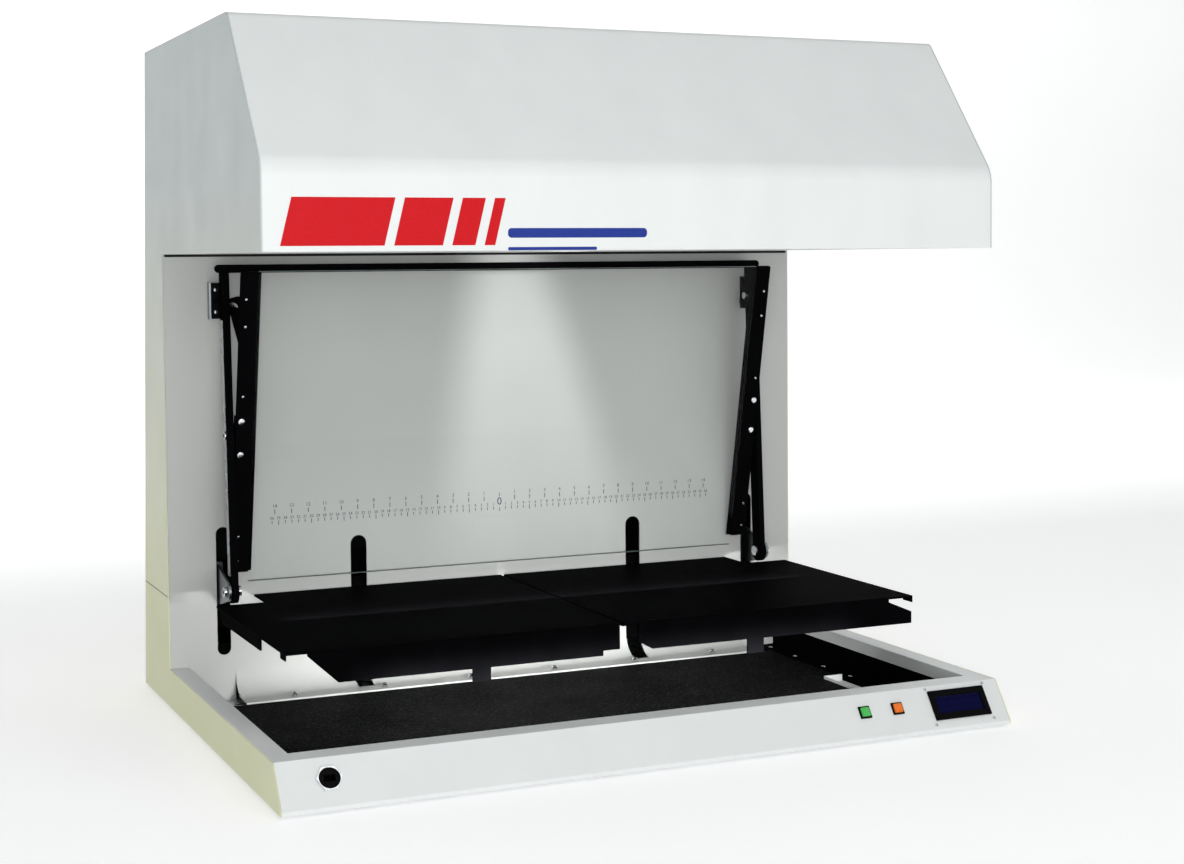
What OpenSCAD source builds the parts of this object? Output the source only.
/* [Cabinet] */
// Overall width across the two side panels
overall_w = 1030; // [1000:5:1060]
// Overall depth, from the foot of the control panel to the foot of the rear cover
overall_d = 807; // [800:1:820]
// Overall height, from the ground to the top of the hood
overall_h = 960; // [950:5:980]
// Depth of the column behind the back wall, at the ground
column_d = 184; // [180:1:190]
// How far the rear cover leans in between the ground and the hood top
rear_lean = 87.5; // [80:0.5:90]
// Thickness of the folded steel sheets
sheet_t = 2; // [1.5:0.1:2.4]
// Height of the tray rim
rim_z = 60; // [58:1:64]
// Height of the rubber feet
foot_h = 4; // [3:0.5:5]

/* [Hood] */
// Height of the underside of the hood
hood_under_z = 662; // [658:1:670]
// Height of the fold between the upright and the sloping front sheet
hood_fold_z = 766; // [750:1:780]
// Reach of the hood in front of the back wall
hood_reach = 576; // [565:1:580]
// Reach of the flat top in front of the back wall
hood_top_reach = 422; // [400:1:430]
// Bend radius between the top and the sloping sheet
top_bend_r = 16; // [8:1:20]
// Bend radius between the sloping and the upright sheet
fold_bend_r = 40; // [20:1:50]

/* [Control panel] */
// Depth of the slope, front to back
panel_run = 36; // [30:1:40]
// Height of the upright band below the slope
panel_band_z = 9; // [7:1:11]
// Side of the square push-button caps
button_cap = 12.4; // [11:0.1:13]
// Travel of the push buttons
button_travel = 2.5; // [1.5:0.1:3]
// Width of the display bezel
lcd_w = 90; // [80:1:92]
// Height of the display bezel
lcd_h = 42.5; // [38:0.5:44]

/* [Back wall] */
// Distance of the outer slots from the middle
outer_slot_x = 434; // [433:0.5:435]
// Width of the outer slots
outer_slot_w = 20; // [19:0.5:22]
// Distance of the cradle slots from the middle
cradle_slot_x = 228; // [220:1:236]
// Width of the cradle slots
cradle_slot_w = 25; // [22:1:28]
// Radius of the cove at the foot of the wall
cove_r = 36; // [30:1:40]

/* [Cradle] */
// Outer edge of the cradle plates, from the middle
plate_out_x = 463; // [455:1:466]
// Height of the top of the cradle plates
plate_top_z = 161; // [160:0.5:161]
// Depth of the cradle plates in front of the back wall
plate_front_reach = 456; // [440:1:470]
// Gap between the two cradle plates
spine_gap = 5; // [4:1:16]

/* [Glass frame] */
// Pivot of the swing arms in front of the back wall
pivot_reach = 51.5; // [51:0.5:52]
// Height of the pivot of the swing arms
pivot_z = 175; // [175:0.5:176]
// Backward lean of the parked swing arms, in degrees
arm_lean = 3.35; // [3.2:0.05:3.4]
// Distance from the arm pivot to the glass pivot
glass_pivot_len = 225.4; // [225:0.1:226]
// Forward lean of the parked glass, in degrees
glass_lean = 11.93; // [11.8:0.01:12]
// Thickness of the glass pane
glass_t = 5; // [4:0.5:5]
// Width of the side bars of the glass
bar_w = 30; // [26:1:32]

/* [Hidden] */

$fn = 48;
eps = 1;
fit = 0.05;

half_w = overall_w / 2;
in_x = half_w - sheet_t;
front_y = -overall_d / 2;
rear_y = overall_d / 2;
wall_y = rear_y - column_d;
wall_back_y = wall_y + sheet_t;
pan_top_z = foot_h + sheet_t;
side_seam_z = 165;
hood_front_y = wall_y - hood_reach;
hood_top_y = wall_y - hood_top_reach;

function rear_at(z) = rear_y - rear_lean * (z - foot_h) / (overall_h - foot_h);

rim_in_x = 486;
rim_in_y = -331;
deck_x = 444;
deck_top_z = 12;
flange_y = 153.5;
flange_z = 14;
cove_x = 418;

panel_rise = rim_z - panel_band_z;
panel_tilt = atan2(panel_rise, panel_run);
panel_top_y = front_y + panel_run;
// Depth of the sloping sheet, measured level
panel_inset = sheet_t / sin(panel_tilt);
port_x = -450;
port_s = 27.4;
port_r = 13;
button_x = [291.5, 343];
button_s = 26.5;
button_back = 7;
collar_out = 17;
collar_in = 15.6;
lcd_x = 442;
lcd_s = 29.3;
screen_w = 73;
screen_h = 25;
lcd_screw_r = 1.5;
lcd_screw_spots = [for (x = [-47, 47], s = [4.5, 56.5]) [lcd_x + x, s]];

outer_slot_z = [73.5, 262.5];
cradle_slot_top_z = 237;

pivot_y = wall_y - pivot_reach;
arm_w = 26;
arm_t = 9;
arm_in_x = 426.5;
arm_top_z = 634.5;
arm_head_r = 17;
pivot_r = 5;
glass_pin_r = 4;
stop_pin_r = 3;
stop_head_r = 5.5;
stop_pin_len = 415;
bracket_t = 4;
bracket_in_x = 437;
glass_pivot_y = pivot_y + glass_pivot_len * sin(arm_lean);
glass_pivot_z = pivot_z + glass_pivot_len * cos(arm_lean);
glass_back = 17.3;
bar_t = 8;
bar_out_x = 424.5;
bar_in_x = bar_out_x - bar_w;
bar_low = -204.8;
bar_high = 244.9;
pane_low = -220.1;
pane_lap = 5.5;
lug_t = 4;
tilt_travel = 13.9;
stop_r = stop_pin_len - glass_pivot_len;
stop_angle = arm_lean + glass_lean;

plate_t = 3;
plate_front_y = wall_y - plate_front_reach;
plate_rear_y = wall_y - 7.5;
notch_x = 391;
notch_y = wall_y - 79.5;
carrier_top_z = plate_top_z - plate_t;
carrier_t = 3;
slide_arm_w = 16;
slide_arm_z = [125, carrier_top_z - carrier_t];
slide_arm_front_y = -190;
carrier_out_x = plate_out_x - 2;

beam_y = 264;
beam_t = 6;
rail_w = 15;
rail_d = 12;
strut_x = cradle_slot_x + 40;
strut_y = 250;
strut_r = 4;
rod_x = 340;
rod_y = 300;
rod_r = 10;
rod_top_z = 330;
actuator_rod_r = 8;
actuator_rod_top_z = 176;

upright_x = [472, 508];
upright_y = [270, 306];
upright_top_z = 900;
tube_t = 3;
deck_z = 740;
deck_top = deck_z + 4;
mirror_y = -60;
mirror_z = 830;
mirror_shaft_r = 5;
camera_front_y = 80;
lamp_y = [-242, 112];
window_y = [-130, 30];
window_x = 160;
lamp_window = [300, 20];

inlet_x = -430;
inlet_z = 70;
rocker_x = inlet_x + 36;
rocker_r = 8;
rocker_inset = 3;
fan_x = 376;
fan_z = deck_z + 50;
fan_r = 43;
fan_w = 92;

white = [0.93, 0.94, 0.93];
side_grey = [0.84, 0.85, 0.80];
wall_grey = [0.80, 0.80, 0.78];
black = [0.06, 0.06, 0.06];
zinc = [0.72, 0.73, 0.75];

// ---------- helpers ----------

// A box given by its lowest and highest corners
module span(low, high) {
  translate(low) cube(high - low);
}

// A plate standing across the width: its outline is drawn in Y and Z
module across(x0, x1) {
  translate([x0, 0, 0]) rotate([90, 0, 90]) linear_extrude(x1 - x0) children();
}

// A round bar across the width
module cross_pin(x0, x1, y, z, r) {
  translate([x0, y, z]) rotate([0, 90, 0]) cylinder(h = x1 - x0, r = r);
}

// Draws its children on the right, or mirrored on the left
module side(s) {
  if (s > 0) children();
  else mirror([1, 0, 0]) children();
}

module both_sides() {
  for (s = [-1, 1]) side(s) children();
}

// Places children on the sloping panel face, local Z pointing out of it
module on_panel(x, s) {
  translate([x, panel_top_y - s * cos(panel_tilt), rim_z - s * sin(panel_tilt)])
    rotate([panel_tilt, 0, 0]) children();
}

// Places children on the rear cover, local Y pointing out of it
module on_rear(x, z) {
  translate([x, rear_at(z), z]) rotate([atan2(rear_lean, overall_h - foot_h), 0, 0]) children();
}

// A box centred in X and Y, from z0 to z1
module block(w, h, z0, z1) {
  translate([-w / 2, -h / 2, z0]) cube([w, h, z1 - z0]);
}

// The points of an arc of radius r that rounds the corner b between a and c
function corner_arc(a, b, c, r, n = 8) =
  let (
    u = (a - b) / norm(a - b),
    v = (c - b) / norm(c - b),
    half = acos(u * v) / 2,
    p = b + u * r / tan(half),
    q = b + v * r / tan(half),
    m = b + (u + v) / norm(u + v) * r / sin(half),
    a0 = atan2(p.y - m.y, p.x - m.x),
    turn = (atan2(q.y - m.y, q.x - m.x) - a0 + 540) % 360 - 180
  )
  [for (i = [0 : n]) m + r * [cos(a0 + turn * i / n), sin(a0 + turn * i / n)]];

// The folded line of the hood, from the rear of its top to its lower front edge,
// inset by d
function hood_line(d) =
  let (
    rear = [rear_at(overall_h), overall_h - d],
    slope = atan2(overall_h - hood_fold_z, hood_top_reach - hood_reach),
    top = [hood_top_y + d * tan((180 - slope) / 2), overall_h - d],
    fold = [hood_front_y + d, hood_fold_z - d * tan((slope - 90) / 2)],
    foot = [hood_front_y + d, hood_under_z]
  )
  concat([rear], corner_arc(rear, top, fold, top_bend_r - d),
    corner_arc(top, fold, foot, fold_bend_r - d), [foot]);

function reversed(list) = [for (i = [len(list) - 1 : -1 : 0]) list[i]];

// A round-ended slot standing on a YZ or XZ sheet, drawn from its centre line
module slot_outline(w, z0, z1) {
  translate([-w / 2, z0 + w / 2]) square([w, z1 - z0 - w]);
  translate([0, z0 + w / 2]) circle(d = w);
  translate([0, z1 - w / 2]) circle(d = w);
}

// A curved slot about the origin, from angle a0 to a1 measured from +Y towards +X
module arc_slot(r, w, a0, a1) {
  function at(a, d) = d * [sin(a), cos(a)];
  intersection() {
    difference() {
      circle(r = r + w / 2, $fn = 180);
      circle(r = r - w / 2, $fn = 180);
    }
    polygon([[0, 0], at(a0, 2 * r), at(a1, 2 * r)]);
  }
  for (a = [a0, a1]) translate(at(a, r)) circle(d = w);
}

// ---------- cabinet ----------

module base_pan() {
  color(zinc) span([-in_x, front_y + sheet_t, foot_h], [in_x, rear_at(pan_top_z), pan_top_z]);
}

module base_side(s) {
  color(side_grey) side(s) across(in_x, half_w) polygon([
    [rear_at(foot_h), foot_h], [rear_at(side_seam_z), side_seam_z], [wall_y, side_seam_z],
    [wall_y, rim_z], [panel_top_y, rim_z], [front_y, panel_band_z], [front_y, foot_h]
  ]);
}

// The room above the tray, open to the top and rear
module tray_room() {
  span([-rim_in_x, rim_in_y, 0], [rim_in_x, rear_y, overall_h]);
}

module base_rim() {
  color(white) {
    difference() {
      span([-in_x, panel_top_y + panel_inset, rim_z - sheet_t], [in_x, wall_y, rim_z]);
      tray_room();
    }
    difference() {
      span([-rim_in_x - sheet_t, rim_in_y - sheet_t, pan_top_z],
        [rim_in_x + sheet_t, wall_y, rim_z - sheet_t]);
      tray_room();
    }
  }
}

module front_panel() {
  band_top = panel_band_z - sheet_t * tan((90 - panel_tilt) / 2);
  cut = 5 * sheet_t;
  slack = 0.4;
  color(white) difference() {
    across(-in_x, in_x) polygon([
      [panel_top_y, rim_z], [front_y, panel_band_z], [front_y, foot_h],
      [front_y + sheet_t, foot_h], [front_y + sheet_t, band_top], [panel_top_y + panel_inset, rim_z]
    ]);
    on_panel(port_x, port_s) cylinder(h = 2 * cut, r = port_r + fit, center = true);
    for (x = button_x) on_panel(x, button_s) block(collar_in + slack, collar_in + slack, -cut, cut);
    on_panel(lcd_x, lcd_s) block(screen_w + slack, screen_h + slack, -cut, cut);
    for (p = lcd_screw_spots)
      on_panel(p.x, p.y) cylinder(h = 2 * cut, r = lcd_screw_r + 0.1, center = true);
  }
}

module tray_mat() {
  pocket_w = 32;
  pocket_y = [-157, -70];
  color(black) difference() {
    span([-deck_x, rim_in_y, pan_top_z], [deck_x, flange_y - sheet_t, deck_top_z]);
    span([deck_x - pocket_w, pocket_y[0], 0], [deck_x + eps, pocket_y[1], rim_z]);
  }
}

module side_channels() {
  wall_t = 2;
  wall_top_z = 42;
  color(black) both_sides() {
    span([deck_x, rim_in_y, pan_top_z], [rim_in_x, wall_y, pan_top_z + wall_t]);
    span([rim_in_x - wall_t, rim_in_y, pan_top_z + wall_t], [rim_in_x, wall_y, wall_top_z]);
  }
}

module cove_profile() {
  steps = 12;
  centre = [wall_y - cove_r, flange_z + cove_r];
  function arc(r) = [for (i = [0 : steps]) centre + r * [cos(-90 * i / steps), sin(-90 * i / steps)]];
  polygon(concat(
    [[wall_back_y, centre.y]], arc(cove_r),
    [[flange_y, flange_z], [flange_y, pan_top_z], [flange_y + sheet_t, pan_top_z]],
    [[flange_y + sheet_t, flange_z - sheet_t]], reversed(arc(cove_r + sheet_t))
  ));
}

module back_wall() {
  cove_top_z = flange_z + cove_r;
  color(wall_grey) difference() {
    union() {
      span([-in_x, wall_y, cove_top_z], [in_x, wall_back_y, hood_under_z]);
      both_sides() span([cove_x, wall_y, pan_top_z], [in_x, wall_back_y, cove_top_z]);
      across(-cove_x, cove_x) cove_profile();
    }
    both_sides() translate([outer_slot_x, wall_back_y + eps, 0]) rotate([90, 0, 0])
      linear_extrude(sheet_t + 2 * eps) slot_outline(outer_slot_w, outer_slot_z[0], outer_slot_z[1]);
    both_sides() translate([cradle_slot_x, wall_back_y + eps, 0]) rotate([90, 0, 0])
      linear_extrude(cove_r + sheet_t + eps)
      slot_outline(cradle_slot_w, -cradle_slot_w, cradle_slot_top_z);
  }
}

// Screws of the wall flange and of the display panel
module cover_screws() {
  count = 6;
  pitch = 137.6;
  inset = 14;
  color(zinc) {
    for (i = [0 : count - 1])
      translate([pitch * (i - (count - 1) / 2), flange_y + inset, flange_z])
        cylinder(h = 2.2, r = 4.5);
    for (p = lcd_screw_spots) on_panel(p.x, p.y) {
      cylinder(h = 1.2, r = 2.4);
      translate([0, 0, -6]) cylinder(h = 6, r = lcd_screw_r);
    }
  }
}

module upper_side(s) {
  color(side_grey) side(s) across(in_x, half_w) polygon(concat(
    [[rear_at(side_seam_z), side_seam_z]], hood_line(0),
    [[wall_y, hood_under_z], [wall_y, side_seam_z]]
  ));
}

module hood_cover() {
  color(white) across(-in_x, in_x) polygon(concat(hood_line(0), reversed(hood_line(sheet_t))));
}

module hood_underside() {
  color(white) difference() {
    span([-in_x, hood_front_y + sheet_t, hood_under_z], [in_x, wall_y, hood_under_z + sheet_t]);
    span([-window_x, window_y[0], 0], [window_x, window_y[1], overall_h]);
    for (y = lamp_y)
      span([-lamp_window[0], y - lamp_window[1], 0], [lamp_window[0], y + lamp_window[1], overall_h]);
  }
}

// The clear pane below the mirror and the two diffusers below the lamps
module hood_windows() {
  low_z = hood_under_z + sheet_t;
  lap = 6;
  color([0.9, 0.95, 0.95, 0.5]) {
    span([-window_x - 10, window_y[0] - 10, low_z], [window_x + 10, window_y[1] + 10, low_z + 4]);
    for (y = lamp_y)
      span([-lamp_window[0] - lap, y - lamp_window[1] - lap, low_z],
        [lamp_window[0] + lap, y + lamp_window[1] + lap, low_z + 3]);
  }
}

module rear_cover() {
  top_z = overall_h - sheet_t;
  vent_w = 6;
  vent_pitch = 14;
  vent_reach = 60;
  vent_y = 300;
  low_vent_pitch = 22;
  low_vent_z = [120, 180];
  color(side_grey) difference() {
    across(-in_x, in_x) polygon([
      [rear_at(pan_top_z), pan_top_z], [rear_at(top_z), top_z],
      [rear_at(top_z) - sheet_t, top_z], [rear_at(pan_top_z) - sheet_t, pan_top_z]
    ]);
    for (x = [-fan_x, fan_x], i = [-4 : 4]) translate([x, vent_y, fan_z + vent_pitch * i])
      span([-vent_reach, 0, -vent_w / 2], [vent_reach, rear_y - vent_y, vent_w / 2]);
    for (i = [-6 : 6]) translate([low_vent_pitch * i, vent_y, 0])
      span([-vent_w / 2, 0, low_vent_z[0]], [vent_w / 2, rear_y - vent_y + eps, low_vent_z[1]]);
    span([inlet_x - 14.5, 380, inlet_z - 11], [rocker_x + 10.5, rear_y + eps, inlet_z + 11]);
  }
}

// A square tube from low to high, bored right through along its longest axis, given by end
module frame_tube(low, high, end) {
  wall = [tube_t, tube_t, tube_t] - (tube_t + eps) * end;
  difference() {
    span(low, high);
    span(low + wall, high - wall);
  }
}

module uprights() {
  color(zinc) both_sides()
    frame_tube([upright_x[0], upright_y[0], pan_top_z], [upright_x[1], upright_y[1], upright_top_z],
      [0, 0, 1]);
}

module hood_beams() {
  beam_h = 40;
  front_reach = -330;
  color(zinc) both_sides()
    frame_tube([upright_x[0], front_reach, deck_z - beam_h], [upright_x[1], upright_y[0], deck_z],
      [0, 1, 0]);
}

module cross_member() {
  depth = 20;
  color(zinc) span([-upright_x[0], rod_y - 15, rod_top_z], [upright_x[0], rod_y - 15 + depth, rod_top_z + 20]);
}

module rubber_feet() {
  color(black) for (x = [-440, 0, 440], y = [-340, 340]) translate([x, y, 0]) cylinder(h = foot_h, r = 18);
}

// ---------- control panel ----------

module lcd_bezel() {
  bezel_t = 3;
  color(black) on_panel(lcd_x, lcd_s) difference() {
    block(lcd_w, lcd_h, 0, bezel_t);
    block(screen_w, screen_h, -eps, bezel_t + eps);
  }
}

module lcd_screen() {
  slack = 0.4;
  color([0.10, 0.13, 0.30]) on_panel(lcd_x, lcd_s) block(screen_w - slack, screen_h - slack, -8, 1);
}

module button_collars() {
  hole = button_cap + 0.6;
  collar_t = 2;
  floor_t = 2;
  well = button_back + button_travel + 2.5;
  color(black) for (x = button_x) on_panel(x, button_s) difference() {
    union() {
      block(collar_out, collar_out, 0, collar_t);
      block(collar_in, collar_in, -well - floor_t, 0);
    }
    block(hole, hole, -well, collar_t + eps);
  }
}

module push_button(x) {
  proud = 4.6;
  on_panel(x, button_s) block(button_cap, button_cap, -button_back, proud);
}

module green_button() {
  color([0.25, 0.72, 0.36]) push_button(button_x[0]);
}

module orange_button() {
  color([0.95, 0.45, 0.12]) push_button(button_x[1]);
}

module port_socket() {
  barrel = 24;
  proud = 2;
  color(black) on_panel(port_x, port_s) difference() {
    translate([0, 0, proud - barrel]) cylinder(h = barrel, r = port_r);
    block(14, 8, -10, proud + eps);
  }
}

module port_nut() {
  nut_t = 2.6;
  nut_r = 17;
  color(zinc) on_panel(port_x, port_s) difference() {
    cylinder(h = nut_t, r = nut_r, $fn = 6);
    translate([0, 0, -eps]) cylinder(h = nut_t + 2 * eps, r = port_r + fit);
  }
}

// ---------- column and hood interior ----------

// Two jaws on a back plate on each side, with a gap between them
module wall_catches() {
  depth = 9;
  back_t = 3;
  catch_x = [425, 447];
  catch_z = [568, 620];
  jaw_h = 22;
  color(black) both_sides() {
    span([catch_x[0], wall_y - back_t, catch_z[0]], [catch_x[1], wall_y, catch_z[1]]);
    for (z = [catch_z[0], catch_z[1] - jaw_h])
      span([catch_x[0], wall_y - depth, z], [catch_x[1], wall_y - back_t, z + jaw_h]);
  }
}

module guide_rods() {
  color(zinc) both_sides()
    translate([rod_x, rod_y, pan_top_z]) cylinder(h = rod_top_z - pan_top_z, r = rod_r);
}

module lift_actuator() {
  tube_r = 22;
  tube_top_z = 120;
  motor_w = 70;
  floor_t = 6;
  color(black) difference() {
    union() {
      translate([0, rod_y, pan_top_z]) cylinder(h = tube_top_z - pan_top_z, r = tube_r);
      span([0, rod_y - 20, pan_top_z], [motor_w, rod_y + 20, 60]);
    }
    translate([0, rod_y, pan_top_z + floor_t]) cylinder(h = tube_top_z, r = actuator_rod_r + fit);
  }
}

// Carries the optics, with a hole below the mirror
module optics_deck() {
  color(zinc) difference() {
    span([-upright_x[1], -140, deck_z], [upright_x[1], 262, deck_top]);
    span([-90, -125, 0], [90, 10, overall_h]);
  }
}

module camera_body() {
  box_w = 90;
  foot_w = 120;
  box_l = 110;
  box_z = [mirror_z - 40, mirror_z + 40];
  color(black) {
    span([-box_w / 2, camera_front_y, box_z[0]], [box_w / 2, camera_front_y + box_l, box_z[1]]);
    span([-foot_w / 2, camera_front_y + 10, deck_top],
      [foot_w / 2, camera_front_y + box_l - 10, box_z[0]]);
  }
}

module camera_lens() {
  mount_l = 20;
  barrel_l = 30;
  color([0.15, 0.15, 0.17]) translate([0, camera_front_y, mirror_z]) rotate([90, 0, 0]) {
    cylinder(h = mount_l, r = 30);
    translate([0, 0, mount_l]) cylinder(h = barrel_l, r = 26);
  }
}

// Two cheeks that carry the mirror's shaft, with a drive box on the right one
module mirror_bracket() {
  cheek_x = [94, 100];
  half_d = 20;
  foot_t = 4;
  drive_h = 21;
  color(zinc) difference() {
    both_sides() {
      span([cheek_x[0], mirror_y - half_d, deck_top], [cheek_x[1], mirror_y + half_d, mirror_z + half_d]);
      span([cheek_x[1], mirror_y - half_d, deck_top], [130, mirror_y + half_d, deck_top + foot_t]);
    }
    cross_pin(-140, 140, mirror_y, mirror_z, mirror_shaft_r + fit);
  }
  color(black) span([cheek_x[1], mirror_y - drive_h, mirror_z - drive_h],
    [140, mirror_y + drive_h, mirror_z + drive_h]);
}

module scan_mirror() {
  mirror_w = 160;
  mirror_l = 70;
  mirror_t = 7;
  color([0.85, 0.88, 0.9]) {
    cross_pin(-99, 99, mirror_y, mirror_z, mirror_shaft_r);
    translate([0, mirror_y, mirror_z]) rotate([45, 0, 0])
      span([-mirror_w / 2, -mirror_l / 2, -mirror_t], [mirror_w / 2, mirror_l / 2, 0]);
  }
}

module lamp_tubes() {
  tube_z = 690;
  half_l = 270;
  cap_l = 20;
  cap_half_d = 11;
  color([0.98, 0.98, 0.92]) for (y = lamp_y) {
    cross_pin(-half_l, half_l, y, tube_z, 8);
    for (x = [-half_l - cap_l, half_l])
      span([x, y - cap_half_d, hood_under_z + 5], [x + cap_l, y + cap_half_d, tube_z + 12]);
  }
}

module main_board() {
  board_z = deck_top + 6;
  face_z = board_z + 2;
  color([0.08, 0.35, 0.18]) {
    span([-400, -40, board_z], [-160, 140, face_z]);
    for (x = [-390, -180], y = [-30, 120]) span([x, y, deck_top], [x + 8, y + 8, board_z]);
    span([-330, 20, face_z], [-280, 70, face_z + 10]);
    span([-240, 10, face_z], [-180, 100, face_z + 6]);
  }
}

module power_supply() {
  color(zinc) span([200, 0, deck_top], [360, 180, deck_top + 56]);
}

module power_inlet() {
  dx = rocker_x - inlet_x;
  flange_t = 3;
  flange_half_h = 15;
  body_half_h = 10.4;
  well_half_h = 8.5;
  color(black) on_rear(inlet_x, inlet_z) difference() {
    union() {
      span([-24, 0, -flange_half_h], [dx + 14, flange_t, flange_half_h]);
      span([-14, -30, -body_half_h], [14, 0, body_half_h]);
      span([dx - 10, -16, -body_half_h], [dx + 10, 0, body_half_h]);
    }
    span([-12, -18, -well_half_h], [12, flange_t + eps, well_half_h]);
    span([dx - 8, -14, -well_half_h], [dx + 8, flange_t + eps, well_half_h]);
  }
}

// A cylinder cut to a ridge, stored tipped to its off end
module power_rocker() {
  slope = 12;
  ridge = 4.6;
  half_w = 7.6;
  cut = 20;
  color([0.75, 0.1, 0.08]) on_rear(rocker_x, inlet_z)
    translate([0, -rocker_inset, 0]) rotate([-slope, 0, 0]) difference() {
      cross_pin(-half_w, half_w, 0, 0, rocker_r);
      translate([-cut / 2, ridge, 0]) rotate([slope, 0, 0]) cube(cut);
      translate([-cut / 2, ridge, 0]) rotate([-slope, 0, 0]) translate([0, 0, -cut]) cube(cut);
    }
}

module fan_outline() {
  difference() {
    square(fan_w, center = true);
    circle(r = fan_r);
  }
}

module fan_frame() {
  depth = 22;
  guard_t = 3;
  spoke_w = 6;
  color(black) translate([fan_x, 251, fan_z]) rotate([90, 0, 0]) {
    linear_extrude(depth) fan_outline();
    translate([0, 0, depth]) linear_extrude(guard_t) {
      fan_outline();
      circle(r = 17);
      for (a = [0 : 120 : 240]) rotate(a) translate([-spoke_w / 2, 10]) square([spoke_w, fan_r - 9.5]);
    }
  }
}

module fan_rotor() {
  blades = 7;
  hub_l = 17;
  blade = [23, 20, 1.6];
  pitch = 35;
  color([0.12, 0.12, 0.13]) translate([fan_x, 248, fan_z]) rotate([90, 0, 0]) {
    cylinder(h = hub_l, r = 18);
    for (i = [0 : blades - 1])
      rotate(360 * i / blades) translate([29, 0, hub_l / 2]) rotate([pitch, 0, 0])
        cube(blade, center = true);
  }
}

// ---------- lift carriage ----------

module carriage_beam() {
  beam_x = 452;
  beam_z = [142, 208];
  rail_z = [62, 190];
  ear_top_z = 252;
  color(black) {
    span([-beam_x, beam_y, beam_z[0]], [beam_x, beam_y + beam_t, beam_z[1]]);
    both_sides() {
      span([cradle_slot_x - 35, beam_y, rail_z[0]], [cradle_slot_x + 35, beam_y + beam_t, beam_z[0]]);
      span([cradle_slot_x - rail_w / 2, beam_y - rail_d, rail_z[0]],
        [cradle_slot_x + rail_w / 2, beam_y, rail_z[1]]);
      span([strut_x - 12, beam_y, beam_z[1]], [strut_x + 12, beam_y + beam_t, ear_top_z]);
    }
  }
}

// The bearings on the guide rods, the clamp of the actuator rod and the two strut cylinders
module carriage_bushings() {
  block_half_w = 22;
  block_z = [150, 200];
  strut_z = [178, 250];
  strut_case_r = 9;
  strut_depth = 68;
  color([0.6, 0.62, 0.65]) {
    both_sides() difference() {
      span([rod_x - block_half_w, beam_y + beam_t, block_z[0]],
        [rod_x + block_half_w, rod_y + block_half_w, block_z[1]]);
      translate([rod_x, rod_y, block_z[0] - eps])
        cylinder(h = block_z[1] - block_z[0] + 2 * eps, r = rod_r + fit);
    }
    span([-block_half_w, beam_y + beam_t, actuator_rod_top_z], [block_half_w, rod_y + 20, block_z[1]]);
    both_sides() difference() {
      union() {
        translate([strut_x, strut_y, strut_z[0]])
          cylinder(h = strut_z[1] - strut_z[0], r = strut_case_r);
        span([strut_x - strut_case_r, strut_y, strut_z[0]],
          [strut_x + strut_case_r, beam_y, strut_z[1]]);
      }
      translate([strut_x, strut_y, strut_z[0] - eps]) cylinder(h = strut_depth, r = strut_r + fit);
    }
  }
}

module pivot_bracket(s) {
  low = pivot_z - 28;
  high = pivot_z + 30;
  neck_y = pivot_y - 5;
  neck_half_h = 13;
  color([0.55, 0.57, 0.58]) side(s) difference() {
    union() {
      across(bracket_in_x, bracket_in_x + bracket_t) {
        polygon([
          [beam_y, low], [beam_y, high], [wall_y + 6, high], [neck_y, pivot_z + neck_half_h],
          [neck_y, pivot_z - neck_half_h], [wall_y + 6, low]
        ]);
        translate([pivot_y, pivot_z]) circle(r = 14);
      }
      span([bracket_in_x - 12, beam_y - 4, low], [bracket_in_x, beam_y, high]);
    }
    cross_pin(bracket_in_x - eps, bracket_in_x + bracket_t + eps, pivot_y, pivot_z, pivot_r + fit);
  }
}

module pivot_bolts() {
  head_r = 8;
  head_t = 4.5;
  shank_x = [425.5, 441.5];
  color(zinc) both_sides() {
    cross_pin(shank_x[0], shank_x[1], pivot_y, pivot_z, pivot_r);
    cross_pin(shank_x[0] - head_t, shank_x[0], pivot_y, pivot_z, head_r);
    cross_pin(shank_x[1], shank_x[1] + head_t, pivot_y, pivot_z, head_r);
  }
}

module actuator_rod() {
  low_z = 60;
  color(zinc) translate([0, rod_y, low_z]) cylinder(h = actuator_rod_top_z - low_z, r = actuator_rod_r);
}

// ---------- swing frame ----------

// The YZ frame of a swing arm: origin at its pivot, local +Y along the arm
module on_arm() {
  translate([pivot_y, pivot_z]) rotate(-arm_lean) children();
}

module swing_arm(s) {
  x0 = arm_in_x - eps;
  x1 = arm_in_x + arm_t + eps;
  raw_l = 480;
  color(black) side(s) difference() {
    across(arm_in_x, arm_in_x + arm_t) difference() {
      on_arm() {
        translate([-arm_w / 2, 0]) square([arm_w, raw_l]);
        circle(r = arm_head_r);
      }
      translate([0, arm_top_z]) square([rear_y, raw_l]);
    }
    cross_pin(x0, x1, pivot_y, pivot_z, pivot_r + fit);
    cross_pin(x0, x1, glass_pivot_y, glass_pivot_z, glass_pin_r + fit);
  }
}

module cross_bar() {
  bar_h = 12;
  bar_d = 18;
  reach = 443;
  mid_y = pivot_y + (arm_top_z - pivot_z) * tan(arm_lean);
  color(black) translate([0, mid_y + bar_d / 2, arm_top_z + bar_h / 2]) rotate([90, 0, 0])
    linear_extrude(bar_d) {
      square([2 * reach - bar_h, bar_h], center = true);
      for (x = [-1, 1]) translate([x * (reach - bar_h / 2), 0]) circle(d = bar_h);
    }
}

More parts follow.
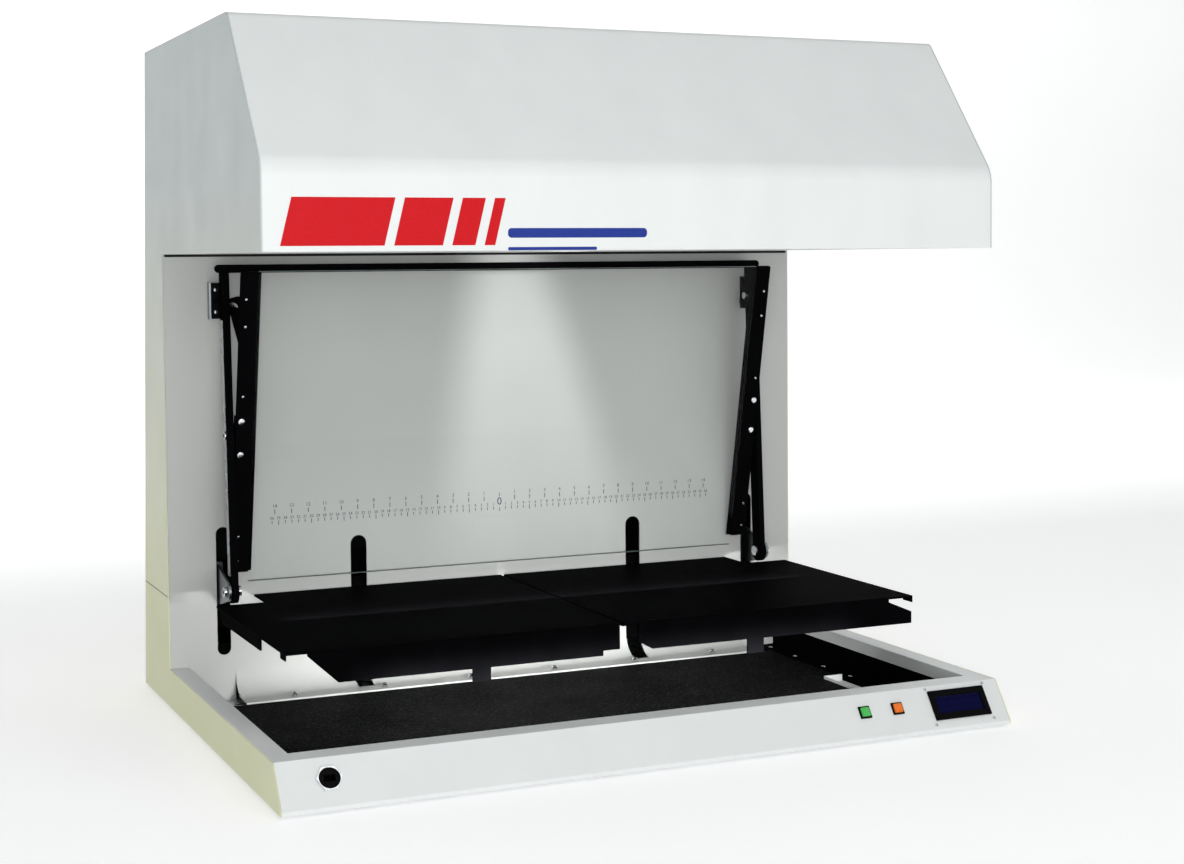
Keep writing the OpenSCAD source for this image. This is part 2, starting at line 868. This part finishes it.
// The glass pivots, headed at both ends, and the stop pins, headed inside
module swing_pins() {
  stop_y = pivot_y + stop_pin_len * sin(arm_lean);
  stop_z = pivot_z + stop_pin_len * cos(arm_lean);
  pivot_x = [420, 436];
  head_r = 7;
  stop_x = 419.7;
  color(zinc) both_sides() {
    cross_pin(pivot_x[0], pivot_x[1], glass_pivot_y, glass_pivot_z, glass_pin_r);
    cross_pin(pivot_x[0] - 3, pivot_x[0], glass_pivot_y, glass_pivot_z, head_r);
    cross_pin(pivot_x[1], pivot_x[1] + 2.5, glass_pivot_y, glass_pivot_z, head_r);
    cross_pin(stop_x, arm_in_x, stop_y, stop_z, stop_pin_r);
    cross_pin(stop_x - 2.2, stop_x, stop_y, stop_z, stop_head_r);
  }
}

// ---------- glass frame ----------

// The YZ frame of the glass: origin at its pivot, local +Y up along the glass
module on_glass() {
  translate([glass_pivot_y, glass_pivot_z]) rotate(glass_lean) children();
}

// The bar, its pivot lug and the plate with the curved slot for the stop pin
module glass_bar(s) {
  back = bar_t - glass_back;
  lug_in_x = bar_out_x - lug_t;
  lug_half_l = 30;
  slot_w = 2 * stop_pin_r + 0.6;
  color(black) side(s) difference() {
    union() {
      across(bar_in_x, bar_out_x) on_glass()
        translate([-glass_back, bar_low]) square([bar_t, bar_high - bar_low]);
      across(lug_in_x, bar_out_x) on_glass() difference() {
        union() {
          translate([back, -lug_half_l]) square([-back, 2 * lug_half_l]);
          circle(r = 12);
          polygon([[back, 140], [back, 204], [8, 204], [68, 186], [68, 166], [40, 168]]);
        }
        arc_slot(stop_r, slot_w, stop_angle - tilt_travel - 1, stop_angle + 1);
      }
    }
    across(bar_in_x - eps, bar_in_x + pane_lap + 0.3) on_glass()
      translate([-glass_back - eps, bar_low - eps])
      square([glass_t + 0.2 + eps, bar_high - bar_low + 2 * eps]);
    cross_pin(lug_in_x - eps, bar_out_x + eps, glass_pivot_y, glass_pivot_z, glass_pin_r + fit);
  }
}

module glass_pane() {
  color([0.75, 0.85, 0.85, 0.3]) across(-bar_in_x - pane_lap, bar_in_x + pane_lap) on_glass()
    translate([-glass_back, pane_low]) square([glass_t, bar_high - pane_low]);
}

// ---------- cradle ----------

// The hollow arm through the wall, its slider round the rail and the strut rod beside it
module cradle_slide(s) {
  x = cradle_slot_x;
  half_w = slide_arm_w / 2;
  arm_rear_y = 236;
  slider_half_w = 22;
  slider_rear_y = 260;
  slider_z = [105, 172];
  rail_gap = 0.2;
  strut_low_z = 150;
  color(black) side(s) {
    difference() {
      span([x - half_w, slide_arm_front_y, slide_arm_z[0]], [x + half_w, arm_rear_y, slide_arm_z[1]]);
      span([x - half_w + tube_t, slide_arm_front_y - eps, slide_arm_z[0] + tube_t],
        [x + half_w - tube_t, arm_rear_y - 4, slide_arm_z[1] - tube_t]);
    }
    difference() {
      span([x - slider_half_w, arm_rear_y, slider_z[0]], [x + slider_half_w, slider_rear_y, slider_z[1]]);
      span([x - rail_w / 2 - rail_gap, beam_y - rail_d - rail_gap, slider_z[0] - eps],
        [x + rail_w / 2 + rail_gap, slider_rear_y + eps, slider_z[1] + eps]);
    }
    span([x + slider_half_w, strut_y - 9, strut_low_z - 10], [strut_x + 9, strut_y + 9, strut_low_z]);
    translate([strut_x, strut_y, strut_low_z]) cylinder(h = 80, r = strut_r);
  }
}

// The front flanges of the two carriers, drawn in X and Z
module right_flange() {
  polygon([
    [26, carrier_top_z], [26, 132], [46, 121], [192, 121], [192, 101], [218, 101], [218, 121],
    [carrier_out_x, 121], [carrier_out_x, 138], [423, 154], [423, carrier_top_z]
  ]);
}

module left_flange() {
  polygon([
    [spine_gap / 2, carrier_top_z], [spine_gap / 2, 125], [27, 125], [27, 118], [188, 118],
    [188, 101], [214, 101], [214, 118], [394, 118], [434, 155], [434, carrier_top_z]
  ]);
}

module cradle_carrier(s) {
  flange_t = 3;
  lip_y = [-101, 119];
  lip_low_z = 140;
  wide_x = 423;
  color(black) side(s) {
    span([spine_gap / 2, plate_front_y + flange_t, slide_arm_z[1]], [wide_x, notch_y, carrier_top_z]);
    translate([0, plate_front_y + flange_t, 0]) rotate([90, 0, 0]) linear_extrude(flange_t)
      if (s > 0) right_flange();
      else left_flange();
    span([wide_x, lip_y[0], slide_arm_z[1]], [carrier_out_x, lip_y[1], carrier_top_z]);
    span([carrier_out_x - flange_t, lip_y[0], lip_low_z], [carrier_out_x, lip_y[1], slide_arm_z[1]]);
  }
}

module cradle_plate(s) {
  lip_d = 24;
  lip_t = 2;
  lip_low_z = 151;
  color(black) side(s) {
    difference() {
      span([spine_gap / 2, plate_front_y, carrier_top_z], [plate_out_x, plate_rear_y, plate_top_z]);
      span([notch_x, notch_y, 0], [plate_out_x + eps, plate_rear_y + eps, overall_h]);
    }
    span([plate_out_x - lip_t, plate_front_y, lip_low_z], [plate_out_x, plate_front_y + lip_d, carrier_top_z]);
  }
}

base_pan();
base_side(-1);  // left_base_side
base_side(1);  // right_base_side
base_rim();
front_panel();
tray_mat();
side_channels();
back_wall();
cover_screws();
upper_side(-1);  // left_side_panel
upper_side(1);  // right_side_panel
hood_cover();
hood_underside();
hood_windows();
rear_cover();
uprights();
hood_beams();
cross_member();
rubber_feet();
lcd_bezel();
lcd_screen();
button_collars();
port_socket();
port_nut();
wall_catches();
guide_rods();
lift_actuator();
optics_deck();
camera_body();
camera_lens();
mirror_bracket();
lamp_tubes();
main_board();
power_supply();
power_inlet();
fan_frame();
carriage_beam();
carriage_bushings();
pivot_bracket(-1);  // left_pivot_bracket
pivot_bracket(1);  // right_pivot_bracket
pivot_bolts();
actuator_rod();
swing_arm(-1);  // left_swing_arm
swing_arm(1);  // right_swing_arm
cross_bar();
swing_pins();
glass_bar(-1);  // left_glass_bar
glass_bar(1);  // right_glass_bar
glass_pane();
cradle_slide(-1);  // left_cradle_slide
cradle_carrier(-1);  // left_cradle_carrier
cradle_plate(-1);  // left_cradle_plate
cradle_slide(1);  // right_cradle_slide
cradle_carrier(1);  // right_cradle_carrier
cradle_plate(1);  // right_cradle_plate
green_button();
orange_button();
scan_mirror();
fan_rotor();
power_rocker();
